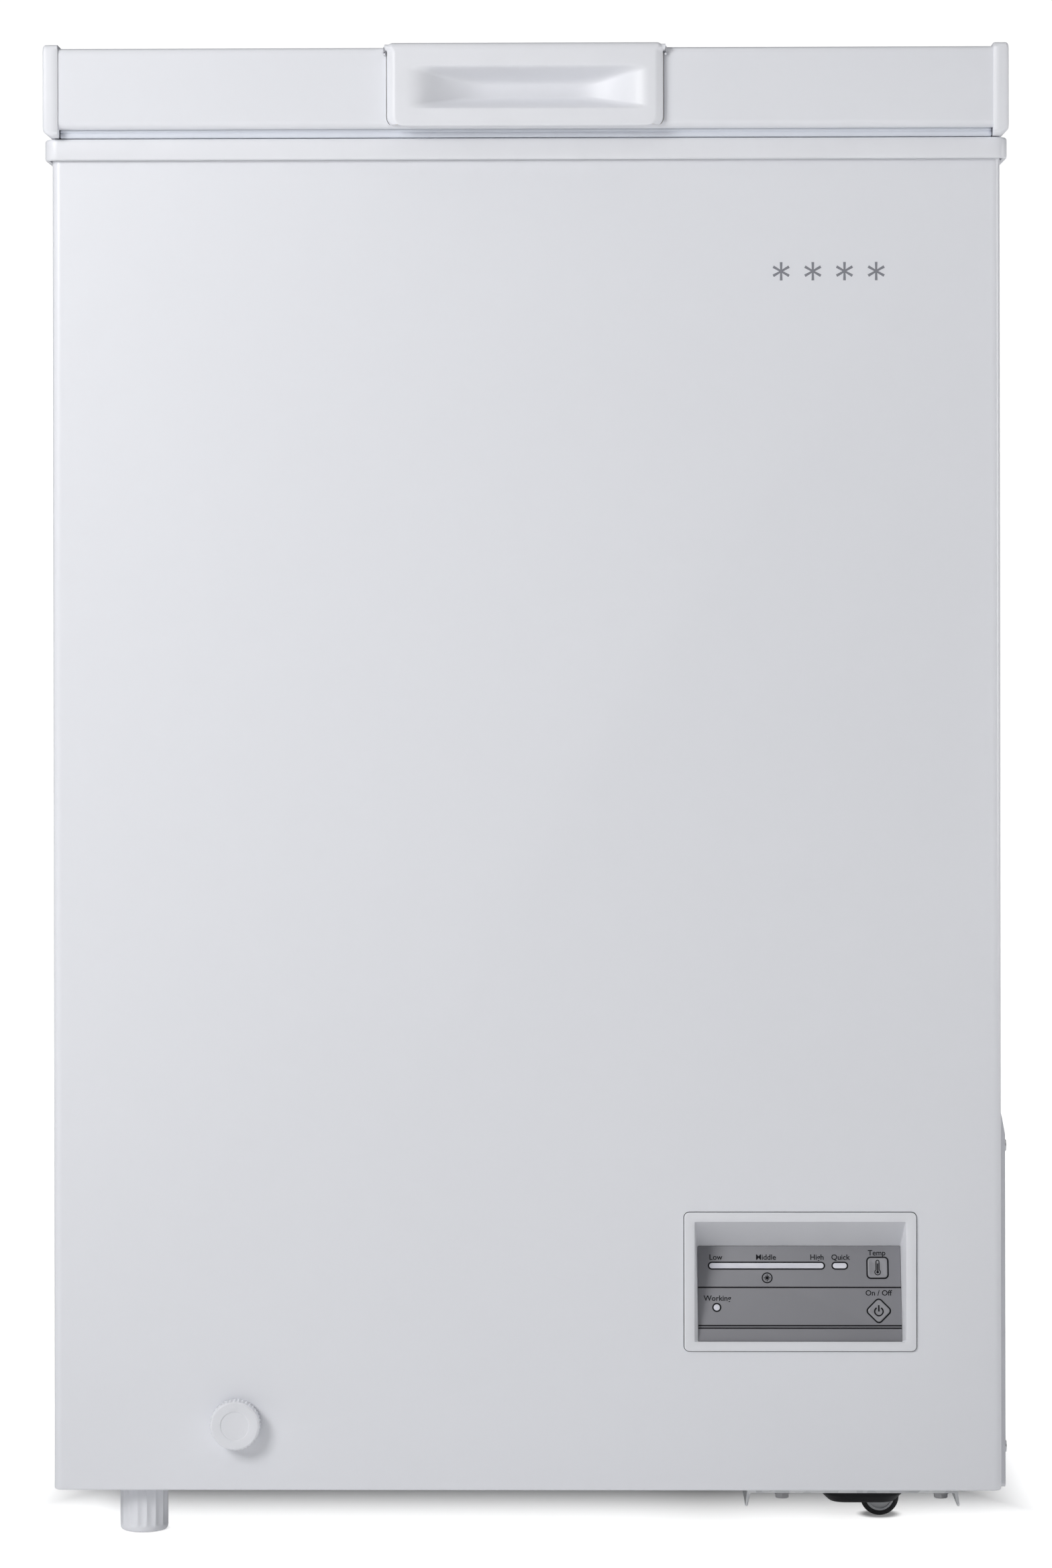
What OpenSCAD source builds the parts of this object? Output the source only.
// Small chest freezer: a steel cabinet foamed around an aluminium tub, with a hinged foamed lid,
// a compressor in a side compartment, two screw feet on the left and two casters on the right.
// Millimetres. Origin on the floor under the middle of the freezer, +Z up, the front faces -Y.

/* [Cabinet] */
// Width of the steel cabinet
cabinet_w = 540; // [530:1:550]
// Depth of the steel cabinet, front to back
cabinet_d = 478; // [470:1:490]
// Height of the cabinet's bottom edge above the floor
cabinet_z = 27; // [26:0.5:30]
// Height of the cabinet's top edge above the floor, under the rim
cabinet_top = 794; // [780:1:800]
// Thickness of the insulated wall
wall = 50; // [46:1:54]

/* [Lid] */
// Width of the lid over its end caps
lid_w = 548; // [544:1:556]
// Height of the lid's steel shell
lid_h = 46; // [42:1:50]
// How far the lid's front stands before the cabinet
lid_over = 10; // [8:0.5:12]
// How far the handle stands before the lid
handle_out = 7; // [5:0.5:8]
// Width of the handle
handle_w = 157; // [140:1:170]

/* [Control panel] */
// Width of the panel's outer frame
panel_w = 132; // [126:1:140]
// Height of the panel's outer frame
panel_h = 79; // [76:1:84]
// Backward lean of the fascia, in degrees
fascia_tilt = 15; // [12:1:18]
// How far the buttons travel
button_travel = 0.8; // [0.4:0.1:1]

/* [Running gear] */
// Radius of a screw foot
foot_r = 13.8; // [12:0.1:15]
// Radius of a caster wheel over its tyre
wheel_r = 11.2; // [10:0.1:11.5]
// Distance from a caster's pivot to its wheel's axle
caster_trail = 10.5; // [10:0.1:12]
// How far the hinge brackets stand behind the cabinet
hinge_out = 22; // [20:1:24]

/* [Hidden] */
$fn = 48;

// Sheet, gaps and the cabinet's place
sheet = 0.5;
gap = 0.1;
run = 0.05; // radial running clearance of a pin in its bore
total_d = handle_out + lid_over + cabinet_d + hinge_out;
front_y = handle_out + lid_over - total_d / 2;
back_y = front_y + cabinet_d;
mid_y = (front_y + back_y) / 2;
corner_r = 5;
hem = 20;
floor_z = cabinet_z + sheet; // top of the bottom hem

// Rim
rim_out = 4;
rim_back = 3;
rim_skirt = 9.2;
rim_top = cabinet_top + 3;
mouth_w = cabinet_w - 2 * wall - 6;
mouth_d = cabinet_d - 2 * wall - 6;
ledge_z = rim_top - 19;
ledge_in = 5;

// Tub and compressor compartment
liner_t = 0.6;
tub_w = cabinet_w - 2 * wall;
tub_d = cabinet_d - 2 * wall;
tub_r = 20;
tub_floor = 80;
step_x = 30;
step_z = 310;
room_x = 82;
room_top = 250;

// Refrigerant tubes
evap_r = 4;
evap_off = 6.3;
pocket = 11;
cond_r = 2.5;
cond_wall = cabinet_w / 2 - sheet - 3.4;
cond_back = back_y - 2 * sheet - 3.4;
cond_low = 290;
cond_high = 745;
side_pitch = 40;
back_pitch = 36;

// Compressor and its base
comp_x = 186;
comp_y = 40;
comp_r = 65;
comp_low = 42;
comp_high = 192;
comp_wall = 3;
mount_dx = 44;
mount_dy = 60;
base_x0 = 125.2;
base_x1 = 245;
base_low = 17.5;
base_flare = 1.2;
bolt_dx = 45.3;
bolt_x = 190.6;
bolt_y = hem / 2 + 1;
stub_z = comp_high + 14;

// Feet and casters
foot_x = -220.8;
foot_inset = 26;
foot_top = cabinet_z - 0.4;
stud_r = 4;
caster_x = 194;
caster_front_y = front_y + 67;
caster_rear_y = back_y - 66;
bowl_top = 24.4;
bowl_low = 9.4;
bowl_r_top = 24.6;
bowl_r_low = 20.6;
wheel_w = 10;
hub_r = 8.4;
pivot_r = 2.3;

// Side louvre
vent_y0 = front_y + 7;
vent_y1 = back_y - 7;
vent_mid = (vent_y0 + vent_y1) / 2;
vent_low = cabinet_z + 0.5;
vent_high = 241;
vent_out = 2.6;
vent_slope = 12;
vent_rows = 12;
vent_step = 140;
vent_slot = 124;

// Control panel: the fascia's middle and the recess in front of it
panel_x = 155.4;
panel_z = 146;
bezel_out = 1.5;
recess_w = 120;
recess_low = 112;
recess_high = 180;
fascia_w = 116;
fascia_high = 164.7;
fascia_len = (fascia_high - recess_low) / cos(fascia_tilt);
fascia_lip = 2.5;
fascia_y = front_y - bezel_out + fascia_lip + fascia_len / 2 * sin(fascia_tilt);
fascia_z = (fascia_high + recess_low) / 2;
fascia_t = 2;
set_at = [44.7, 14.8];
power_at = [45, -9.6];
set_w = 11.2;
power_w = 9.8;
bar_at = [-18.7, 16];
bar_size = [65.4, 3];
super_at = [23.2, 16];
super_size = [8, 3];
running_at = [-47.3, -7.7];
running_r = 1.8;

// Drain
drain_x = -165.9;
drain_z = 65.6;
drain_bore = 8.2;
drain_wall = 2.3;
drain_end = front_y + 78;
inlet_y = front_y + 66;
dial_r = 14.4;
dial_front = front_y - 11;
stem_r = 7.9;
seal_y = front_y + 42;

// Lid: outer planes of its steel shell, and the parts below it
lid_low = rim_top + 5;
lid_top = lid_low + lid_h;
lid_front = front_y - lid_over;
lid_back = back_y + 2;
cap_w = 8.7;
cap_proud = 1;
cap_low = rim_top + 0.5;
cap_top = lid_top + 2;
lid_edge_r = 4;
lid_hem = 6;
panel_low = lid_low + sheet + gap;
plug_low = rim_top - 10;
plug_gap = 9;
gasket_w = 14;
handle_low = lid_low + 0.4;
grip_w = 126;
grip_low = lid_low + 12.6;
grip_high = lid_low + 33.9;
grip_depth = 18.5;

// Hinges
hinge_x = 165;
pivot_y = back_y + 11;
pivot_z = lid_low + 4;
ear_r = 8.5;
ear_x = 16;
ear_t = 2;
pin_r = 3;

// Basket
basket_l = 200;
basket_x = mouth_w / 2 - basket_l / 2 - 9;
basket_d = mouth_d - 32;
basket_h = 190;
basket_t = 3;

// ---- Helpers ------------------------------------------------------------------------------

module rounded_rect(w, d, r) {
    square([w - 2 * r, d], center = true);
    square([w, d - 2 * r], center = true);
    for (x = [-1, 1], y = [-1, 1])
        translate([x * (w / 2 - r), y * (d / 2 - r)])
            circle(r);
}

// A block with rounded upright edges, from z0 to z1, centred on x and y
module rounded_block(w, d, z0, z1, r) {
    translate([0, 0, z0])
        linear_extrude(z1 - z0)
            rounded_rect(w, d, r);
}

// The same, centred on the cabinet's middle
module cabinet_block(w, d, z0, z1, r) {
    translate([0, mid_y, 0])
        rounded_block(w, d, z0, z1, r);
}

// A box given by its two corners
module box(low, high) {
    translate(low)
        cube(high - low);
}

// A YZ outline extruded from x0 to x1
module along_x(x0, x1) {
    translate([x0, 0, 0])
        rotate([90, 0, 90])
            linear_extrude(x1 - x0)
                children();
}

// An XZ outline extruded from y0 to y1
module along_y(y0, y1) {
    translate([0, y1, 0])
        rotate([90, 0, 0])
            linear_extrude(y1 - y0)
                children();
}

// A cylinder along Y from y0 to y1, about (x, z)
module rod_y(x, z, r, y0, y1) {
    translate([x, y1, z])
        rotate([90, 0, 0])
            cylinder(r = r, h = y1 - y0);
}

// A cylinder along X from x0 to x1, about (y, z)
module rod_x(y, z, r, x0, x1) {
    translate([x0, y, z])
        rotate([0, 90, 0])
            cylinder(r = r, h = x1 - x0);
}

// A hexagonal screw head with its shank, pointing up
module hex_bolt(shank_r, shank, head_r, head) {
    translate([0, 0, -head])
        cylinder(r = head_r, h = head, $fn = 6);
    translate([0, 0, -gap])
        cylinder(r = shank_r, h = shank + gap);
}

// A tube swept along a route, with its rings turned smoothly from one point to the next
function unit(v) = v / norm(v);
function heading(p, i) = unit(p[min(i + 1, len(p) - 1)] - p[max(i - 1, 0)]);
function square_to(n, t) = unit(n - (n * t) * t);
function frames(p, n = [0.31, 0.53, 0.79], i = 0) =
    i == len(p) ? [] : let (t = heading(p, i), m = square_to(n, t))
        concat([[m, cross(t, m)]], frames(p, m, i + 1));

module tube(route, r, sides = 6) {
    f = frames(route);
    n = len(route);
    points = [for (i = [0 : n - 1], k = [0 : sides - 1]) let (a = 360 * k / sides)
        route[i] + r * (cos(a) * f[i][0] + sin(a) * f[i][1])];
    walls = [for (i = [0 : n - 2], k = [0 : sides - 1]) let (j = (k + 1) % sides)
        [i * sides + k, (i + 1) * sides + k, (i + 1) * sides + j, i * sides + j]];
    ends = [[for (k = [0 : sides - 1]) k], [for (k = [sides - 1 : -1 : 0]) (n - 1) * sides + k]];
    polyhedron(points, concat(walls, ends));
}

// ---- Cabinet ------------------------------------------------------------------------------

// Painted steel front and sides in one bent sheet, with a hem along the bottom and the back edges
module outer_wrap() {
    color("white")
        difference() {
            cabinet_block(cabinet_w, cabinet_d, cabinet_z, cabinet_top, corner_r);
            cabinet_block(cabinet_w - 2 * sheet, cabinet_d - 2 * sheet, floor_z, cabinet_top + 1, corner_r - sheet);
            cabinet_block(cabinet_w - 2 * hem, cabinet_d - 2 * hem, cabinet_z - 1, floor_z + 1, 2);
            box([-cabinet_w / 2 + hem, back_y - 2, floor_z], [cabinet_w / 2 - hem, back_y + 1, cabinet_top + 1]);
            box([panel_x - panel_w / 2 + 3, front_y - 1, panel_z - panel_h / 2 + 3],
                [panel_x + panel_w / 2 - 3, front_y + 2, panel_z + panel_h / 2 - 3]);
            rod_y(drain_x, drain_z, drain_bore + drain_wall + 0.3, front_y - 1, front_y + 2);
            box([cabinet_w / 2 - 2, vent_y0 + 14, 45], [cabinet_w / 2 + 1, vent_y1 - 14, 225]);
            rear_cover_screw_places()
                rod_y(0, 0, 2.3, -5, 1);
            side_cover_screw_places()
                rod_x(0, 0, 1.9, -5, 1);
            base_bolt_holes();
            foot_holes();
        }
}

// Holes through the bottom hem and the compressor base
module base_bolt_holes() {
    for (x = [-1, 1], y = [front_y + bolt_y, back_y - bolt_y])
        translate([bolt_x + x * bolt_dx, y, base_low])
            cylinder(r = 3.2, h = 20);
}

module foot_holes() {
    for (y = [front_y + foot_inset, back_y - foot_inset])
        translate([foot_x, y, cabinet_z - 1])
            cylinder(r = stud_r + 0.6, h = 4);
}

// Galvanised back sheet, open at the compressor compartment
module back_panel() {
    color("silver")
        difference() {
            box([-cabinet_w / 2 + corner_r, back_y - 2 * sheet, floor_z + gap],
                [cabinet_w / 2 - corner_r, back_y - sheet, cabinet_top]);
            box([room_x + 26, back_y - 5, 44], [cabinet_w / 2 - hem, back_y + 1, 240]);
            rear_cover_screw_places()
                rod_y(0, 0, 2.3, -5, 1);
            for (x = [-1, 1])
                hinge_plate_screw_holes(x * hinge_x);
        }
}

module hinge_plate_screw_holes(x) {
    for (dx = [-9, 9], z = [725, 765])
        rod_y(x + dx, z, 2.2, back_y - 20, back_y + 1);
}

// Bottom sheet, stepped up over the compressor compartment
module bottom_pan() {
    color("silver")
        difference() {
            intersection() {
                along_y(front_y + sheet + gap, back_y - 2 * sheet - gap)
                    polygon([
                        [-cabinet_w / 2, floor_z], [room_x + sheet, floor_z], [room_x + sheet, room_top],
                        [cabinet_w / 2, room_top], [cabinet_w / 2, room_top + sheet], [room_x, room_top + sheet],
                        [room_x, floor_z + sheet], [-cabinet_w / 2, floor_z + sheet]
                    ]);
                cabinet_block(cabinet_w - 2 * sheet - 2 * gap, cabinet_d - 2 * sheet - 2 * gap,
                    cabinet_z, cabinet_top, corner_r - sheet);
            }
            for (y = [front_y + foot_inset, back_y - foot_inset])
                translate([foot_x, y, cabinet_z])
                    cylinder(r = stud_r + 0.6, h = 4);
            tube_passages();
        }
}

// Where the refrigerant tubes leave the compartment
module tube_passages() {
    rod_x(150, 110, evap_r + 1, room_x - 1, room_x + 2);
    translate([240, -80, room_top - 1])
        cylinder(r = evap_r + 1, h = 3);
    translate([cond_wall, -190, room_top - 1])
        cylinder(r = cond_r + 0.5, h = 3);
    translate([200, cond_back, room_top - 1])
        cylinder(r = cond_r + 0.5, h = 3);
}

// The tub's volume between two heights, grown sideways and downwards by a margin
module tub_volume(grow, top) {
    cabinet_block(tub_w + 2 * grow, tub_d + 2 * grow, step_z - grow, top, tub_r + grow);
    translate([(step_x - tub_w / 2) / 2, mid_y, 0])
        rounded_block(tub_w / 2 + step_x + 2 * grow, tub_d + 2 * grow, tub_floor - grow, step_z + 1, tub_r + grow);
}

// Polyurethane foam between the sheets and the tub, with plain pockets where the tubes run
module insulation_foam() {
    color("khaki")
        difference() {
            cabinet_block(cabinet_w - 2 * sheet - 2 * gap, cabinet_d - 4 * sheet - 2 * gap,
                floor_z + sheet + gap, cabinet_top - 1, corner_r - sheet);
            tub_volume(liner_t + gap, cabinet_top + 1);
            box([room_x - gap, front_y - 1, cabinet_z - 1], [cabinet_w / 2, back_y + 1, room_top + sheet + gap]);
            cabinet_block(tub_w + 2 * pocket, tub_d + 2 * pocket, step_z + 2, 760, tub_r + pocket);
            translate([(step_x - tub_w / 2) / 2, mid_y, 0])
                rounded_block(tub_w / 2 + step_x + 2 * pocket, tub_d + 2 * pocket, 96, step_z + 3, tub_r + pocket);
            // Recess under the rim's inner skirt
            cabinet_block(tub_w + 4, tub_d + 4, ledge_z - 5, cabinet_top + 1, tub_r + 2);
            evaporator_pockets();
            condenser_pockets();
            drain_pocket();
            for (y = [front_y + foot_inset, back_y - foot_inset])
                translate([foot_x, y, cabinet_z])
                    cylinder(r = 10, h = 30);
            for (x = [-1, 1])
                box([x * hinge_x - 14, back_y - 16, 715], [x * hinge_x + 14, back_y, 775]);
        }
}

module evaporator_pockets() {
    box([step_x, 140, 100], [room_x + 1, 162, 120]);
    box([220, -110, room_top], [250, -68, 735]);
}

module condenser_pockets() {
    box([cond_wall - 4, -200, room_top], [cabinet_w / 2, back_y, 770]);
    box([-200, cond_back - 4, room_top], [cabinet_w / 2, back_y, 770]);
    box([cond_wall - 12, cond_back - 12, 270], [cabinet_w / 2, back_y, 292]);
}

module drain_pocket() {
    rod_y(drain_x, drain_z, drain_bore + drain_wall + gap, front_y - 1, drain_end + 1);
    translate([drain_x, inlet_y, drain_z])
        cylinder(r = 10.2, h = 20);
}

// Aluminium tub with the step over the compressor compartment and a drain hole
module inner_liner() {
    color("gainsboro")
        difference() {
            tub_volume(liner_t, cabinet_top - 1);
            tub_volume(0, cabinet_top);
            translate([drain_x, inlet_y, tub_floor - 5])
                cylinder(r = 10.2, h = 10);
        }
}

// Plastic rim over the top of the walls, with a skirt each side and a ledge that the basket runs on
module top_rim() {
    color("white") {
        difference() {
            translate([0, (rim_back - rim_out) / 2, 0])
                cabinet_block(cabinet_w + 2 * rim_out, cabinet_d + rim_out + rim_back,
                    cabinet_top - rim_skirt, rim_top, corner_r + rim_out);
            cabinet_block(cabinet_w + 0.4, cabinet_d + 0.4, cabinet_top - rim_skirt - 1, cabinet_top + 0.2, corner_r);
            cabinet_block(mouth_w, mouth_d, cabinet_top - 10, rim_top + 1, tub_r - 3);
        }
        difference() {
            cabinet_block(tub_w - 0.4, tub_d - 0.4, ledge_z - 3, cabinet_top + 1, tub_r - 0.2);
            cabinet_block(mouth_w, mouth_d, ledge_z, rim_top, tub_r - 3);
            cabinet_block(mouth_w - 2 * ledge_in, mouth_d - 2 * ledge_in, ledge_z - 4, rim_top, tub_r - 8);
        }
    }
}

// ---- Compressor compartment -----------------------------------------------------------------

// Galvanised cross member with flared flanges, bolted under the front and back hems
module compressor_base() {
    top = cabinet_z - gap;
    color("silver")
        difference() {
            along_y(front_y + 4, back_y - 4)
                polygon([
                    [base_x0, top], [base_x1, top], [base_x1 + base_flare, base_low],
                    [base_x1 + base_flare - 1.5, base_low], [base_x1 - 1.8, top - 2],
                    [base_x0 + 1.8, top - 2], [base_x0 - base_flare + 1.5, base_low], [base_x0 - base_flare, base_low]
                ]);
            base_bolt_holes();
            for (y = [caster_front_y, caster_rear_y])
                translate([caster_x, y, 20])
                    cylinder(r = pivot_r + gap, h = 10);
            compressor_mounts()
                translate([0, 0, 20])
                    cylinder(r = 3.2, h = 10);
        }
}

module compressor_mounts() {
    for (x = [-mount_dx, mount_dx], y = [-mount_dy, mount_dy])
        translate([comp_x + x, comp_y + y, 0])
            children();
}

// Four hexagonal bolts with washers that hold the base to the hems
module base_bolts() {
    color("lightgray")
        for (x = [-1, 1], y = [front_y + bolt_y, back_y - bolt_y])
            translate([bolt_x + x * bolt_dx, y, cabinet_z - 2 - 2 * gap]) {
                translate([0, 0, -1])
                    cylinder(r = 4.8, h = 1);
                translate([0, 0, -1])
                    hex_bolt(3, 9, 4.3, 2.6);
            }
}

// Welded steel pot with a seam, a foot plate and three pipe stubs
module compressor_shell() {
    color("#202022")
        difference() {
            union() {
                translate([comp_x, comp_y, 0])
                    rotate_extrude()
                        polygon(shell_outline(0));
                translate([comp_x, comp_y, 0])
                    rounded_block(2 * mount_dx + 24, 2 * mount_dy + 24, comp_low - 3, comp_low + 2, 8);
                for (x = [-29, 29])
                    translate([comp_x + x, comp_y - 50, comp_high - 40])
                        cylinder(r = 4.5, h = stub_z - comp_high + 40);
            }
            translate([comp_x, comp_y, 0])
                rotate_extrude()
                    polygon(shell_outline(comp_wall));
            compressor_mounts()
                translate([0, 0, comp_low - 4])
                    cylinder(r = 7, h = 8);
        }
}

// Half outline of the pot, inset by t: dished ends, straight wall and a weld seam on the outside
function shell_outline(t) = let (r = comp_r - t, low = comp_low + 2 + t, high = comp_high - t, seam = 112)
    concat(
        [[0, low]],
        [for (a = [-75 : 15 : 0]) [r - 22 + 22 * cos(a), low + 22 + 22 * sin(a)]],
        t > 0 ? [] : [[r, seam - 3], [r + 3, seam - 2], [r + 3, seam + 2], [r, seam + 3]],
        [for (a = [0 : 15 : 75]) [r - 30 + 30 * cos(a), high - 30 + 30 * sin(a)]],
        [[0, high]]
    );

// Stator and pump block inside the pot
module compressor_pump() {
    color("dimgray")
        translate([comp_x, comp_y, 0])
            difference() {
                union() {
                    translate([0, 0, 60])
                        cylinder(r = 50, h = 60);
                    box([-38, -30, 120], [38, 44, 150]);
                }
                translate([0, 0, 59])
                    cylinder(r = 25.5, h = 62);
                translate([0, 0, 119])
                    cylinder(r = 8 + run, h = 40);
            }
}

// Rotor and crankshaft, turning inside the stator
module compressor_rotor() {
    color("darkgray")
        translate([comp_x, comp_y, 0]) {
            translate([0, 0, 62])
                cylinder(r = 25, h = 56);
            translate([0, 0, 117])
                cylinder(r = 8, h = 37);
            translate([0, 5, 153])
                cylinder(r = 5, h = 10);
        }
}

// Rubber mounts under the compressor's foot plate
module compressor_grommets() {
    color("#181818")
        compressor_mounts()
            difference() {
                union() {
                    translate([0, 0, cabinet_z])
                        cylinder(r = 10, h = comp_low - 3 - cabinet_z - gap);
                    translate([0, 0, cabinet_z])
                        cylinder(r = 6.8, h = comp_low + 3 - cabinet_z);
                }
                translate([0, 0, cabinet_z - 1])
                    cylinder(r = 3.4, h = 30);
            }
}

// Studs and nuts through the rubber mounts
module compressor_nuts() {
    color("lightgray")
        compressor_mounts() {
            translate([0, 0, cabinet_z - 6])
                cylinder(r = 3, h = comp_low - cabinet_z + 16);
            translate([0, 0, cabinet_z - 6.2])
                cylinder(r = 5.5, h = 4, $fn = 6);
            translate([0, 0, comp_low + 3.2])
                cylinder(r = 5.5, h = 5, $fn = 6);
        }
}

// Plastic box over the start relay and overload switch
module relay_cover() {
    color("#26262a")
        difference() {
            box([comp_x - 22, comp_y - comp_r - 30, 80], [comp_x + 22, comp_y - comp_r - 0.5, 132]);
            box([comp_x - 20, comp_y - comp_r - 28, 82], [comp_x + 20, comp_y - comp_r + 1, 130]);
        }
}

// ---- Refrigerant circuit --------------------------------------------------------------------

// Twelve points round a rounded rectangle, three to a corner, from the back right one
function loop_point(cx, hx, hy, r, k) = let (q = floor(k / 3), a = 90 * q + 45 * (k % 3))
    [cx + (q == 0 || q == 3 ? 1 : -1) * (hx - r) + r * cos(a), mid_y + (q < 2 ? 1 : -1) * (hy - r) + r * sin(a)];

evap_hx = tub_w / 2 + liner_t + evap_off;
evap_hy = tub_d / 2 + liner_t + evap_off;
well_hx = (tub_w / 2 + step_x) / 2 + liner_t + evap_off;
well_cx = (step_x - tub_w / 2) / 2;
evap_bend = tub_r + liner_t + evap_off;
evap_route = concat(
    [[room_x + 18, 150, 110], [step_x + 18, 150, 110], [step_x + 8, 156, 110]],
    [for (i = [0 : 44]) let (p = loop_point(well_cx, well_hx, evap_hy, evap_bend, i % 12)) [p.x, p.y, 110 + 4 * i]],
    [for (i = [0 : 86]) let (p = loop_point(0, evap_hx, evap_hy, evap_bend, (i + 9) % 12)) [p.x, p.y, 360 + 4.15 * i]],
    [[226, -110, 719], [230, -92, 717], [238, -82, 708], [240, -80, 695], [240, -80, 245], [238, -74, 234],
     [231, -50, 229], [221, -20, 228], [216, -12, 224], [comp_x + 29, comp_y - 50, stub_z + 8],
     [comp_x + 29, comp_y - 50, stub_z + gap]]
);

// Coil bonded round the tub, from the compartment's wall to the compressor's suction stub
module evaporator_tube() {
    color("silver")
        tube(evap_route, evap_r);
}

// Up-and-down runs with round bends: points as (distance along the wall, height)
function bends(n, start, pitch) = [for (i = [0 : n - 2], a = [0 : 45 : 180])
    [start + (i + 0.5 - 0.5 * cos(a)) * pitch,
     (i % 2 == 0 ? cond_high : cond_low) + (i % 2 == 0 ? 0.5 : -0.5) * abs(pitch) * sin(a)]];

back_start = hinge_x + back_pitch; // a run passes midway between the hinge's screws
back_end = back_start - 9 * back_pitch;

cond_route = concat(
    [[comp_x - 29, comp_y - 50, stub_z + gap], [comp_x - 29, comp_y - 50, stub_z + 12],
     [comp_x - 20, comp_y - 70, stub_z + 22], [240, -170, stub_z + 24], [cond_wall - 6, -188, stub_z + 28],
     [cond_wall, -190, 245]],
    [for (p = bends(10, -190, side_pitch)) [cond_wall, p.x, p.y]],
    [[cond_wall, 170, 300], [cond_wall, 174, 290], [cond_wall, 190, 282], [cond_wall, 220, 280],
     [cond_wall - 4, cond_back - 3, 280], [cond_wall - 10, cond_back, 280],
     [back_start + 10, cond_back, 281], [back_start + 2, cond_back, 290]],
    [for (p = bends(10, back_start, -back_pitch)) [p.x, cond_back, p.y]],
    [[back_end, cond_back, 276], [back_end + 2, cond_back, 266], [back_end + 12, cond_back, 260],
     [188, cond_back, 260], [197, cond_back, 258], [200, cond_back, 253], [200, cond_back, 240],
     [198, cond_back - 4, 231], [170, 215, 228], [136, 206, 226], [130, 205, 220], [130, 205, 212 + gap]]
);

// Hot tube bonded inside the right and back sheets, from the compressor to the filter
module condenser_tube() {
    color("peru")
        tube(cond_route, cond_r);
}

// Copper filter and drier before the capillary
module filter_drier() {
    color("peru")
        translate([130, 205, 0])
            rotate_extrude()
                polygon([[0, 122], [2, 122], [2, 128], [9, 138], [9, 198], [3.5, 206], [3.5, 212], [0, 212]]);
}

cap_route = concat(
    [[130, 205, 122 - gap], [130, 205, 114]],
    [for (i = [0 : 30]) [112 + 14 * cos(12 * 3 * i + 20), 196 - 0.6 * i, 96 + 14 * sin(12 * 3 * i + 20)]],
    [[112, 168, 112], [108, 152, 110], [room_x + 23, 150, 110], [room_x + 18 + gap, 150, 110]]
);

// Thin capillary, wound on itself between the filter and the evaporator
module capillary_tube() {
    color("peru")
        tube(cap_route, 1.1);
}

// ---- Covers -----------------------------------------------------------------------------------

// Plastic louvre over the compartment's right side
module side_vent_cover() {
    x = cabinet_w / 2;
    color("white")
        difference() {
            union() {
                translate([x + 0.02, (vent_y0 + vent_y1) / 2, (vent_low + vent_high) / 2])
                    rotate([0, 90, 0])
                        linear_extrude(vent_out - 0.02)
                            rounded_rect(vent_high - vent_low, vent_y1 - vent_y0, 4);
                box([x - 4, vent_y0 + 15, 46], [x + 0.5, vent_y1 - 15, 224]);
            }
            box([x - 5, vent_y0 + 17, 48], [x + vent_out - 1.6, vent_y1 - 17, 222]);
            for (i = [0 : vent_rows - 1], y = [-1, 0, 1])
                box([x - 1, vent_mid + y * vent_step - vent_slot / 2, 58 + 13 * i],
                    [x + 3, vent_mid + y * vent_step + vent_slot / 2, 63 + 13 * i]);
            along_y(vent_y0 - 1, vent_y1 + 1)
                polygon([[x + vent_out, vent_high - vent_slope], [x + 0.4, vent_high],
                    [x + 0.4, vent_high + 1], [x + 4, vent_high + 1], [x + 4, vent_high - vent_slope]]);
            side_cover_screw_places()
                rod_x(0, 0, 1.8, -1, 3);
        }
}

// Screw places of the two vent covers, with the origin on the cabinet's surface
module side_cover_screw_places() {
    for (y = [vent_y0 + 7, vent_y1 - 7], z = [50, 222])
        translate([cabinet_w / 2, y, z])
            children();
}

module rear_cover_screw_places() {
    for (x = [room_x + 20, cabinet_w / 2 - 12], z = [50, 232])
        translate([x, back_y, z])
            children();
}

// Slotted steel sheet over the compartment's back
module rear_vent_cover() {
    color("silver")
        difference() {
            box([room_x + 14, back_y + 0.02, 34], [cabinet_w / 2 - 6, back_y + 1.2, 248]);
            for (i = [0 : 8], x = [-1, 0, 1])
                box([184 + x * 48 - 19, back_y - 1, 96 + 15 * i], [184 + x * 48 + 19, back_y + 2, 101 + 15 * i]);
            rod_y(236, 62, 9.2, back_y - 1, back_y + 3);
            rear_cover_screw_places()
                rod_y(0, 0, 2.2, -3, 3);
        }
}

// Bush in the back cover where the mains lead goes in
module cable_gland() {
    color("#202020")
        difference() {
            union() {
                rod_y(236, 62, 9, back_y - 4, back_y + 6);
                rod_y(236, 62, 11.5, back_y + 1.3, back_y + 4);
                rod_y(236, 62, 11.5, back_y - 4, back_y - 0.1);
            }
            rod_y(236, 62, 3.6, back_y - 5, back_y + 7);
        }
}

// Sheet-metal screws of the two covers and of the hinge brackets
module cabinet_screws() {
    color("lightgray") {
        for (s = [-1, 1], dx = [-9, 9], z = [725, 765]) {
            rod_y(s * hinge_x + dx, z, 4, back_y + 2 + gap, back_y + 4.4);
            rod_y(s * hinge_x + dx, z, 2.1, back_y - 12, back_y + 3);
        }
        rear_cover_screw_places() {
            rod_y(0, 0, 4, 1.3, 3.4);
            rod_y(0, 0, 2.1, -6, 2);
        }
        side_cover_screw_places() {
            rod_x(0, 0, 3.2, vent_out + 0.1, vent_out + 1);
            rod_x(0, 0, 1.7, -5, vent_out + 0.5);
        }
    }
}

// ---- Control panel ------------------------------------------------------------------------------

// Puts children on the fascia: x to the right, y up its slope, z out of its face
module on_fascia() {
    translate([panel_x, fascia_y, fascia_z])
        rotate([90 - fascia_tilt, 0, 0])
            children();
}

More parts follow.
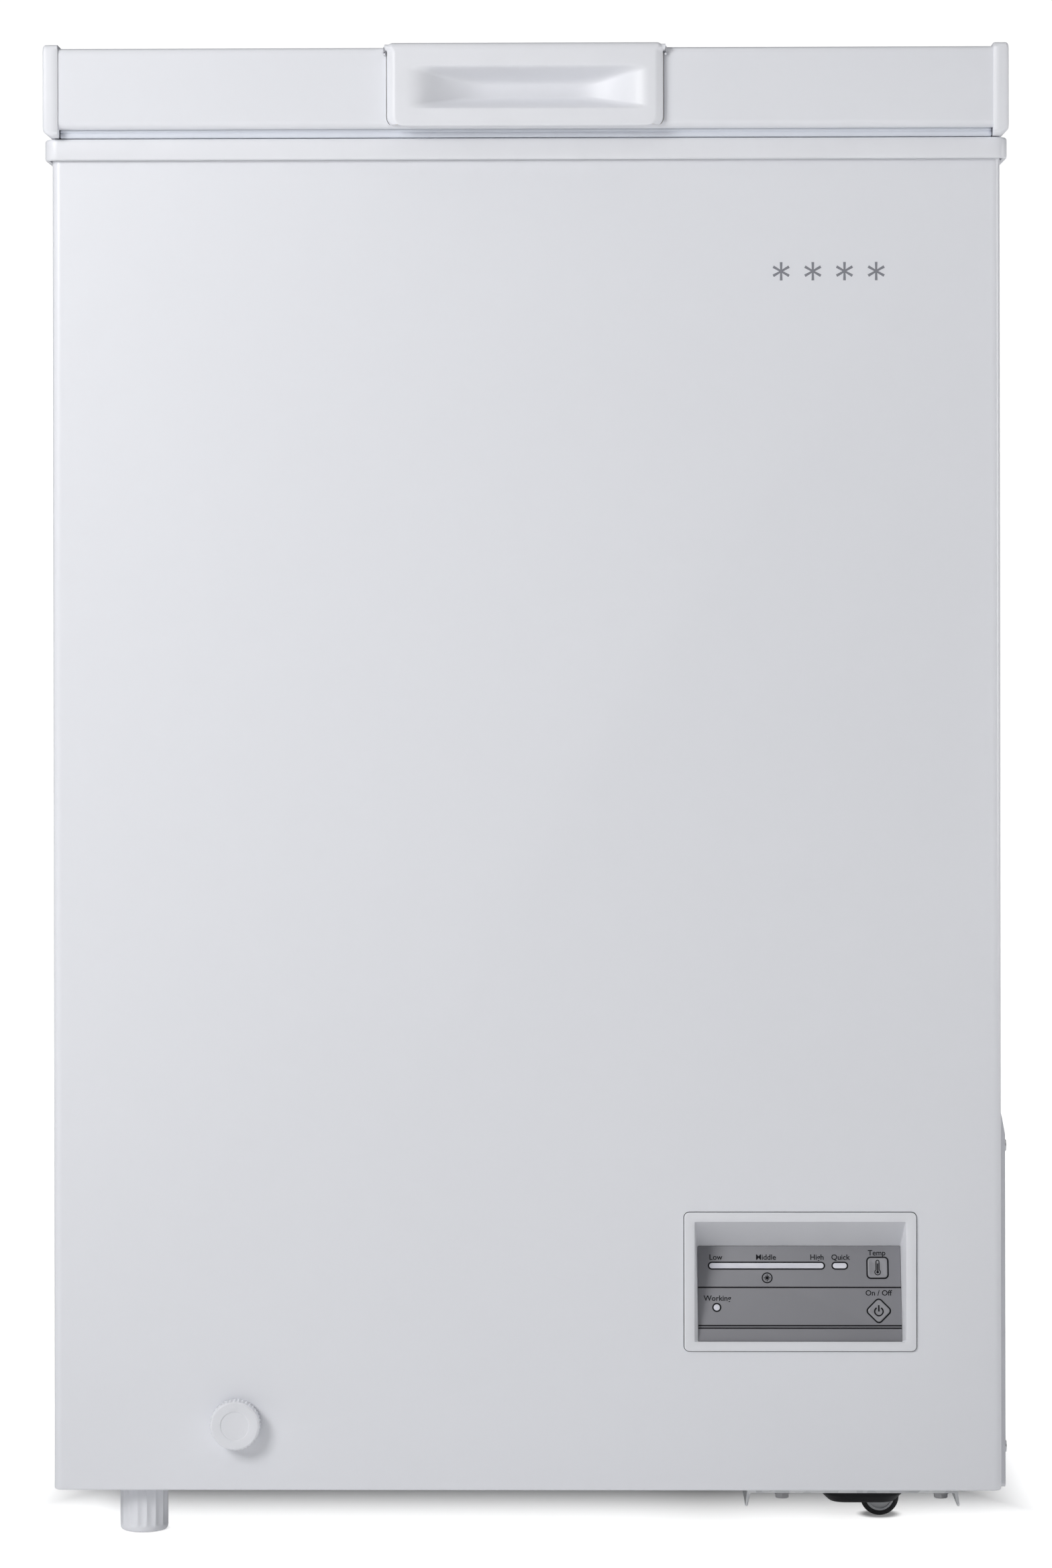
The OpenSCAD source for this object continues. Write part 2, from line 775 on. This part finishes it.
// White frame and recess that hold the fascia
module control_housing() {
    x0 = panel_x - recess_w / 2;
    x1 = panel_x + recess_w / 2;
    color("white")
        difference() {
            union() {
                translate([panel_x, front_y - 0.02, panel_z])
                    rotate([90, 0, 0])
                        linear_extrude(bezel_out - 0.02)
                            rounded_rect(panel_w, panel_h, 3);
                box([x0 - 2.4, front_y - 0.5, recess_low - 2.4], [x1 + 2.4, front_y + 38, recess_high + 2.4]);
            }
            along_x(x0, x1)
                polygon([
                    [front_y - 5, recess_low], [fascia_y - fascia_len / 2 * sin(fascia_tilt), recess_low],
                    [fascia_y + fascia_len / 2 * sin(fascia_tilt), fascia_high],
                    [front_y - bezel_out, recess_high], [front_y - 5, recess_high]
                ]);
            on_fascia()
                box([-fascia_w / 2 - gap, -fascia_len / 2 - gap, -60], [fascia_w / 2 + gap, fascia_len / 2 + gap, 1]);
        }
}

// Grey fascia with windows for the lamps and openings for the buttons
module control_fascia() {
    color("gray")
        on_fascia()
            difference() {
                box([-fascia_w / 2, -fascia_len / 2, -fascia_t], [fascia_w / 2, fascia_len / 2, 0]);
                translate([0, 0, -fascia_t - 1])
                    linear_extrude(fascia_t + 2) {
                        lamp_windows(gap);
                        translate(set_at)
                            rounded_rect(set_w + 0.5, set_w + 0.5, 1.4);
                        translate(power_at)
                            rotate(45)
                                rounded_rect(power_w + 0.5, power_w + 0.5, 1.4);
                    }
            }
}

module lamp_windows(grow) {
    translate(bar_at)
        rounded_rect(bar_size.x + 2 * grow, bar_size.y + 2 * grow, bar_size.y / 2 + grow - 0.02);
    translate(super_at)
        rounded_rect(super_size.x + 2 * grow, super_size.y + 2 * grow, super_size.y / 2 + grow - 0.02);
    translate(running_at)
        circle(running_r + grow);
}

// Clear windows of the level bar, the fast freeze lamp and the running lamp
module display_lens() {
    color("#dfe4ea")
        on_fascia()
            translate([0, 0, -fascia_t])
                linear_extrude(fascia_t + 0.15)
                    lamp_windows(0);
}

// A push button: a cap in the fascia's opening and a stem to the switch on the board
module push_button(cap_w) {
    translate([0, 0, -fascia_t])
        linear_extrude(fascia_t + 0.9)
            rounded_rect(cap_w, cap_w, 1.2);
    translate([0, 0, -fascia_t - 2.4])
        cylinder(r = 1.5, h = 3);
}

module set_button() {
    color("#8e8e92")
        on_fascia()
            translate(set_at)
                push_button(set_w);
}

module power_button() {
    color("#8e8e92")
        on_fascia()
            translate(power_at)
                rotate(45)
                    push_button(power_w);
}

// Circuit board with lamps and key switches, on two posts behind the fascia
module control_board() {
    color("darkgreen")
        on_fascia() {
            box([-54, -23, -12], [54, 23, -10.4]);
            for (x = [-44 : 12 : 16])
                box([x - 1.5, 14.5, -11], [x + 1.5, 17.5, -4]);
            for (p = [set_at, power_at])
                translate([p.x, p.y, -11])
                    cylinder(r = 3, h = 11 - fascia_t - 2.4 - button_travel - 0.3);
            for (x = [-50, 30], y = [-19])
                box([x - 2, y - 2, -11], [x + 2, y + 2, -fascia_t - gap]);
        }
}

// ---- Drain ----------------------------------------------------------------------------------

// Pipe from the tub's floor to the front
module drain_pipe() {
    color("whitesmoke")
        difference() {
            union() {
                rod_y(drain_x, drain_z, drain_bore + drain_wall, front_y + sheet + gap, drain_end);
                rod_y(drain_x, drain_z, drain_bore + drain_wall - 0.2, front_y - 0.5, front_y + 5);
                rod_y(drain_x, drain_z, 12.5, front_y - 0.7, front_y - gap);
                translate([drain_x, inlet_y, drain_z])
                    cylinder(r = 10, h = tub_floor - drain_z);
            }
            rod_y(drain_x, drain_z, drain_bore, front_y - 2, drain_end - 2);
            translate([drain_x, inlet_y, drain_z])
                cylinder(r = 7, h = 30);
        }
}

// Rubber ring in the stem's groove: it slides with the dial and doesn't turn
module drain_seal() {
    color("#202020")
        difference() {
            rod_y(drain_x, drain_z, drain_bore - run, seal_y, seal_y + 2.2);
            rod_y(drain_x, drain_z, stem_r - 0.9, seal_y - 1, seal_y + 3);
        }
}

// Knurled dial with a socket for the spout
module drain_dial() {
    color("whitesmoke")
        difference() {
            union() {
                translate([drain_x, front_y - 1, drain_z])
                    rotate([90, 0, 0])
                        linear_extrude(8)
                            polygon([for (k = [0 : 71]) (dial_r - (k % 2) * 0.7) * [cos(5 * k), sin(5 * k)]]);
                translate([drain_x, front_y - 9, drain_z])
                    rotate([90, 0, 0])
                        cylinder(r1 = dial_r - 1, r2 = dial_r - 2.2, h = -9 - dial_front + front_y);
            }
            rod_y(drain_x, drain_z, 8.2, dial_front - 1, dial_front + 0.5);
            rod_y(drain_x, drain_z, stem_r + gap, front_y - 4 - gap, front_y);
        }
}

// Hollow spout fixed in the dial's socket, with its outlet on the dial's marked side
module drain_spout() {
    color("whitesmoke")
        difference() {
            union() {
                rod_y(drain_x, drain_z, stem_r, front_y - 4, seal_y - gap);
                rod_y(drain_x, drain_z, stem_r - 1, front_y - 4, seal_y + 3);
                rod_y(drain_x, drain_z, stem_r, seal_y + 2.2 + gap, seal_y + 6);
            }
            rod_y(drain_x, drain_z, 5.6, front_y - 2, seal_y + 8);
            translate([drain_x, front_y + 7, drain_z])
                cylinder(r = 3, h = 12);
        }
}

// Plug in the tub's floor, with a finger tab
module drain_plug() {
    color("whitesmoke")
        translate([drain_x, inlet_y, 0]) {
            translate([0, 0, tub_floor - 7])
                cylinder(r = 6.8, h = 8);
            translate([0, 0, tub_floor + 0.2])
                cylinder(r = 13, h = 3);
            box([-9, -1.5, tub_floor + 3], [9, 1.5, tub_floor + 13]);
        }
}

// ---- Feet and casters --------------------------------------------------------------------------

// Threaded bosses fixed to the bottom sheet
module foot_nuts() {
    color("silver")
        for (y = [front_y + foot_inset, back_y - foot_inset])
            translate([foot_x, y, 0])
                difference() {
                    translate([0, 0, floor_z + sheet + gap])
                        cylinder(r = 8, h = 14);
                    translate([0, 0, floor_z])
                        cylinder(r = stud_r + run, h = 20);
                }
}

module fluted_foot(y) {
    color("white")
        translate([foot_x, y, 0])
            difference() {
                rotate_extrude()
                    polygon([[0, 0], [foot_r - 3, 0], [foot_r - 0.8, 0.8], [foot_r, 3], [foot_r, foot_top],
                        [stud_r + gap, foot_top], [stud_r + gap, 8], [0, 8]]);
                for (k = [0 : 15])
                    rotate(22.5 * k)
                        translate([foot_r + 0.5, 0, 4])
                            cylinder(r = 1.3, h = 30);
            }
}

module foot_stud(y) {
    color("silver")
        translate([foot_x, y, 8 + gap])
            cylinder(r = stud_r, h = floor_z + 14 - 8);
}

module foot_front() fluted_foot(front_y + foot_inset);
module foot_front_stud() foot_stud(front_y + foot_inset);
module foot_rear() fluted_foot(back_y - foot_inset);
module foot_rear_stud() foot_stud(back_y - foot_inset);

// Rivets in the compressor base that the casters turn on
module caster_pivots() {
    color("silver")
        for (y = [caster_front_y, caster_rear_y])
            translate([caster_x, y, 0]) {
                translate([0, 0, 19.2])
                    cylinder(r = pivot_r, h = cabinet_z - 19.2 + 1);
                translate([0, 0, cabinet_z])
                    cylinder(r = 5, h = 2);
            }
}

// Black swivelling bowl with a slot for the wheel
module caster_bowl(y) {
    color("#161618")
        translate([caster_x, y, 0])
            difference() {
                rotate_extrude()
                    polygon([[0, bowl_low], [bowl_r_low, bowl_low], [bowl_r_low + 1.8, bowl_low + 0.8],
                        [bowl_r_top - 0.6, bowl_low + 2.8], [bowl_r_top, bowl_low + 4.4],
                        [bowl_r_top, bowl_top], [0, bowl_top]]);
                rod_y(caster_trail, wheel_r, wheel_r + 0.6, -wheel_w / 2 - 0.6, wheel_w / 2 + 0.6);
                rod_y(caster_trail, wheel_r, 1.5 + run, -14, 14);
                translate([0, 0, 19])
                    cylinder(r = pivot_r + run, h = 10);
            }
}

// Hub with its stub axles
module caster_wheel(y) {
    color("silver")
        translate([caster_x, y, 0])
            difference() {
                union() {
                    rod_y(caster_trail, wheel_r, hub_r, -wheel_w / 2 + 0.4, wheel_w / 2 - 0.4);
                    rod_y(caster_trail, wheel_r, 1.5, -9, 9);
                }
                for (s = [-1, 1])
                    translate([0, s * (wheel_w / 2 + 0.4), 0])
                        difference() {
                            rod_y(caster_trail, wheel_r, hub_r - 1.4, -2, 2);
                            rod_y(caster_trail, wheel_r, 3, -3, 3);
                        }
            }
}

module caster_tyre(y) {
    color("#1c1c1e")
        translate([caster_x + caster_trail, y, wheel_r])
            rotate([90, 0, 0])
                rotate_extrude()
                    polygon([[hub_r + 0.02, -wheel_w / 2], [wheel_r - 1, -wheel_w / 2], [wheel_r, -wheel_w / 2 + 1],
                        [wheel_r, wheel_w / 2 - 1], [wheel_r - 1, wheel_w / 2], [hub_r + 0.02, wheel_w / 2]]);
}

module caster_front_bowl() caster_bowl(caster_front_y);
module caster_front_wheel() caster_wheel(caster_front_y);
module caster_front_tyre() caster_tyre(caster_front_y);
module caster_rear_bowl() caster_bowl(caster_rear_y);
module caster_rear_wheel() caster_wheel(caster_rear_y);
module caster_rear_tyre() caster_tyre(caster_rear_y);

// ---- Lid ------------------------------------------------------------------------------------------

// The lid's YZ outline, inset by t
module lid_outline(t) {
    translate([(lid_front + lid_back) / 2, (lid_low + lid_top) / 2])
        rounded_rect(lid_back - lid_front - 2 * t, lid_h - 2 * t, lid_edge_r - t);
}

// Folded steel shell between the end caps, hemmed along its lower edges and cut out for the handle
module lid_skin() {
    x = lid_w / 2 - cap_w;
    color("white")
        difference() {
            along_x(-x, x)
                lid_outline(0);
            along_x(-x - 1, x + 1)
                lid_outline(sheet);
            box([-x - 1, lid_front + lid_hem, lid_low - 1], [x + 1, lid_back - 9, lid_low + 5]);
            box([-handle_w / 2 + 1, lid_front - 1, panel_low + 1.5], [handle_w / 2 - 1, lid_front + 15, lid_top + 1]);
        }
}

// Hollow plastic cap over one end of the lid, for the left end
module lid_end_cap() {
    x0 = -lid_w / 2;
    x1 = x0 + cap_w;
    y0 = lid_front - cap_proud;
    y1 = lid_back + cap_proud;
    color("white")
        difference() {
            intersection() {
                along_x(x0, x1 + 10)
                    translate([(y0 + y1) / 2, (cap_low + cap_top) / 2])
                        rounded_rect(y1 - y0, cap_top - cap_low, lid_edge_r);
                along_y(y0 - 1, y1 + 1)
                    polygon([[x0 + 3, cap_low], [x1 + 10, cap_low], [x1 + 10, cap_top], [x0 + 1.5, cap_top],
                        [x0, cap_top - 3], [x0, cap_low + 3]]);
            }
            along_x(x1, x1 + 11)
                difference() {
                    translate([0, cap_low - 5])
                        translate([y0 - 5, 0])
                            square([y1 - y0 + 10, cap_top - cap_low + 10]);
                    lid_outline(sheet + gap);
                }
            along_x(x0 + 2.4, x1 + 11)
                lid_outline(sheet + gap + 2.4);
            box([x1, y0 - 1, lid_low - 6], [x1 + 11, y1 + 1, panel_low + 1.5 + gap]);
        }
}

module lid_cap_left() lid_end_cap();
module lid_cap_right() mirror([1, 0, 0]) lid_end_cap();

// Foam between the shell and the inner panel
module lid_foam() {
    x = lid_w / 2 - cap_w - 13;
    color("khaki") {
        difference() {
            along_x(-x, x)
                lid_outline(sheet + gap);
            box([-x - 1, lid_front - 1, lid_low - 1], [x + 1, lid_back + 1, panel_low + 1.5 + gap]);
            box([-handle_w / 2 - 1, lid_front - 1, lid_low - 1], [handle_w / 2 + 1, lid_front + 26, lid_top + 1]);
        }
        translate([0, mid_y, 0])
            rounded_block(mouth_w - 2 * plug_gap - 3.4, mouth_d - 2 * plug_gap - 3.4, plug_low + 1.7, panel_low + 3, 14);
    }
}

// Plastic inner panel with a raised plug that drops into the mouth
module lid_inner_panel() {
    w = mouth_w - 2 * plug_gap;
    d = mouth_d - 2 * plug_gap;
    color("white")
        difference() {
            union() {
                box([-lid_w / 2 + cap_w + 2, lid_front + lid_edge_r, panel_low],
                    [lid_w / 2 - cap_w - 2, lid_back - lid_edge_r, panel_low + 1.5]);
                translate([0, mid_y, 0])
                    rounded_block(w, d, plug_low, panel_low + 1, 16);
            }
            translate([0, mid_y, 0])
                rounded_block(w - 3, d - 3, plug_low + 1.5, panel_low + 2, 14.5);
        }
}

// Magnetic gasket under the lid
module lid_gasket() {
    y0 = lid_front + lid_hem + 0.3;
    y1 = lid_back - 10.5;
    w = lid_w - 2 * cap_w - 0.6;
    color("whitesmoke")
        translate([0, (y0 + y1) / 2, 0])
            difference() {
                rounded_block(w, y1 - y0, rim_top + 0.3, panel_low - gap, 2.5);
                rounded_block(w - 2 * gasket_w, y1 - y0 - 2 * gasket_w, rim_top - 1, lid_low + 1, 4);
            }
}

// Plastic handle set into the lid's front edge, with a pocket for the fingers
module lid_handle() {
    y0 = lid_front - handle_out;
    y1 = lid_front + 24;
    slope = 3;
    color("white")
        difference() {
            union() {
                along_z(handle_low, cap_top)
                    polygon([[-handle_w / 2, lid_front - gap], [-handle_w / 2 + slope, y0],
                        [handle_w / 2 - slope, y0], [handle_w / 2, lid_front - gap]]);
                box([-handle_w / 2 + 1.2, lid_front - 1, panel_low + 1.5 + gap], [handle_w / 2 - 1.2, y1, cap_top]);
            }
            along_x(-handle_w, handle_w)
                polygon([[y0 - 1, cap_top - 7], [y0 + 3, cap_top + 1], [y0 - 1, cap_top + 1]]);
            box([-handle_w, lid_front + 15 - gap, lid_top - sheet - gap], [handle_w, y1 + 1, cap_top + 1]);
            along_z(grip_low, grip_high)
                polygon([[-grip_w / 2, y0 - 1], [-grip_w / 2, y0], [-grip_w / 2 + 6, y0 + grip_depth - 5],
                    [-grip_w / 2 + 16, y0 + grip_depth], [grip_w / 2 - 16, y0 + grip_depth],
                    [grip_w / 2 - 6, y0 + grip_depth - 5], [grip_w / 2, y0], [grip_w / 2, y0 - 1]]);
            box([-grip_w / 2 + 18, y0 + 7, grip_low], [grip_w / 2 - 18, y0 + grip_depth, grip_high + 5]);
        }
}

module along_z(z0, z1) {
    translate([0, 0, z0])
        linear_extrude(z1 - z0)
            children();
}

// ---- Hinges ---------------------------------------------------------------------------------------

// Bracket on the cabinet's back with two ears that carry the pin
module hinge_base(x) {
    color("silver")
        difference() {
            union() {
                box([x - 20, back_y, 710], [x + 20, back_y + 2, cabinet_top - rim_skirt - 1]);
                for (s = [-1, 1])
                    along_x(x + s * (ear_x + ear_t / 2) - ear_t / 2, x + s * (ear_x + ear_t / 2) + ear_t / 2) {
                        polygon([[back_y, 712], [back_y + 6, 712], [back_y + hinge_out, 745],
                            [back_y + hinge_out, pivot_z - 2], [pivot_y + ear_r, pivot_z],
                            [pivot_y - ear_r + 1, pivot_z], [back_y + 3.6, pivot_z - 3],
                            [back_y + 3.6, cabinet_top - rim_skirt - 1], [back_y, cabinet_top - rim_skirt - 1]]);
                        translate([pivot_y, pivot_z])
                            circle(ear_r - 1);
                    }
            }
            rod_x(pivot_y, pivot_z, pin_r + run, x - 30, x + 30);
            hinge_plate_screw_holes(x);
            for (dx = [-9, 9], z = [725, 765])
                rod_y(x + dx, z, 2.2, back_y - 1, back_y + 3);
        }
}

module hinge_left_base() hinge_base(-hinge_x);
module hinge_right_base() hinge_base(hinge_x);

// Arm on the lid's back with two knuckles round the pin
module hinge_arm(x) {
    color("silver")
        difference() {
            union() {
                box([x - 13, lid_back + gap, lid_low + 1], [x + 13, lid_back + 2, lid_top - 5]);
                for (s = [-1, 1])
                    along_x(x + s * 11 - 3, x + s * 11 + 3) {
                        polygon([[lid_back + 0.5, pivot_z + 4], [lid_back + 0.5, pivot_z - 4],
                            [pivot_y, pivot_z - 6], [pivot_y, pivot_z + 6], [lid_back + 1, pivot_z + 16]]);
                        translate([pivot_y, pivot_z])
                            circle(6.5);
                    }
            }
            rod_x(pivot_y, pivot_z, pin_r + run, x - 30, x + 30);
            for (z = [lid_top - 22, lid_top - 11])
                rod_y(x, z, 2.2, lid_back - 1, lid_back + 3);
        }
}

module hinge_left_arm() hinge_arm(-hinge_x);
module hinge_right_arm() hinge_arm(hinge_x);

// Rivet pins through the ears and knuckles
module hinge_pins() {
    color("lightgray")
        for (s = [-1, 1]) {
            rod_x(pivot_y, pivot_z, pin_r, s * hinge_x - 21, s * hinge_x + 21);
            for (e = [-21.5, 19.2])
                rod_x(pivot_y, pivot_z, 4.6, s * hinge_x + e, s * hinge_x + e + 2.3);
        }
}

spring_turns = 5;
spring_route = concat(
    [[5.4, -3, -40], [5.4, -3.5, -8]],
    [for (i = [0 : 12 * spring_turns]) [5.4 - 10.8 * i / (12 * spring_turns), 5 * cos(210 - 30 * i), 5 * sin(210 - 30 * i)]]
);

// Torsion springs round the pins that carry part of the lid's weight
module hinge_springs() {
    color("dimgray")
        for (s = [-1, 1])
            translate([s * hinge_x, pivot_y, pivot_z])
                tube(spring_route, 0.9);
}

// Screws that hold the hinge arms to the lid
module lid_screws() {
    color("lightgray")
        for (s = [-1, 1], z = [lid_top - 22, lid_top - 11])
            rod_y(s * hinge_x, z, 3.6, lid_back + 2 + gap, lid_back + 4);
}

// ---- Basket ----------------------------------------------------------------------------------------

// Open basket that hangs on the rim's ledge and slides along it: a plain tub with two end rails
module basket() {
    color("white")
        translate([basket_x, mid_y, 0]) {
            difference() {
                rounded_block(basket_l, basket_d, ledge_z - basket_h, ledge_z + 2, 12);
                rounded_block(basket_l - 2 * basket_t, basket_d - 2 * basket_t, ledge_z - basket_h + basket_t,
                    ledge_z + 3, 12 - basket_t);
            }
            for (s = [-1, 1])
                translate([0, s * (basket_d / 2 + 7), ledge_z + 2.2])
                    cube([basket_l - 24, 17, 4], center = true);
        }
}

// ---- Assembly ----------------------------------------------------------------------------------------

outer_wrap();
back_panel();
bottom_pan();
insulation_foam();
inner_liner();
top_rim();
compressor_base();
base_bolts();
compressor_shell();
compressor_pump();
compressor_rotor();
compressor_grommets();
compressor_nuts();
relay_cover();
evaporator_tube();
condenser_tube();
filter_drier();
capillary_tube();
side_vent_cover();
rear_vent_cover();
cable_gland();
cabinet_screws();
control_housing();
control_fascia();
set_button();
power_button();
display_lens();
control_board();
drain_pipe();
drain_seal();
drain_dial();
drain_spout();
drain_plug();
foot_nuts();
foot_front();
foot_front_stud();
foot_rear();
foot_rear_stud();
caster_pivots();
caster_front_bowl();
caster_front_wheel();
caster_front_tyre();
caster_rear_bowl();
caster_rear_wheel();
caster_rear_tyre();
lid_skin();
lid_cap_left();
lid_cap_right();
lid_foam();
lid_inner_panel();
lid_gasket();
lid_handle();
hinge_left_base();
hinge_right_base();
hinge_left_arm();
hinge_right_arm();
hinge_pins();
hinge_springs();
lid_screws();
basket();
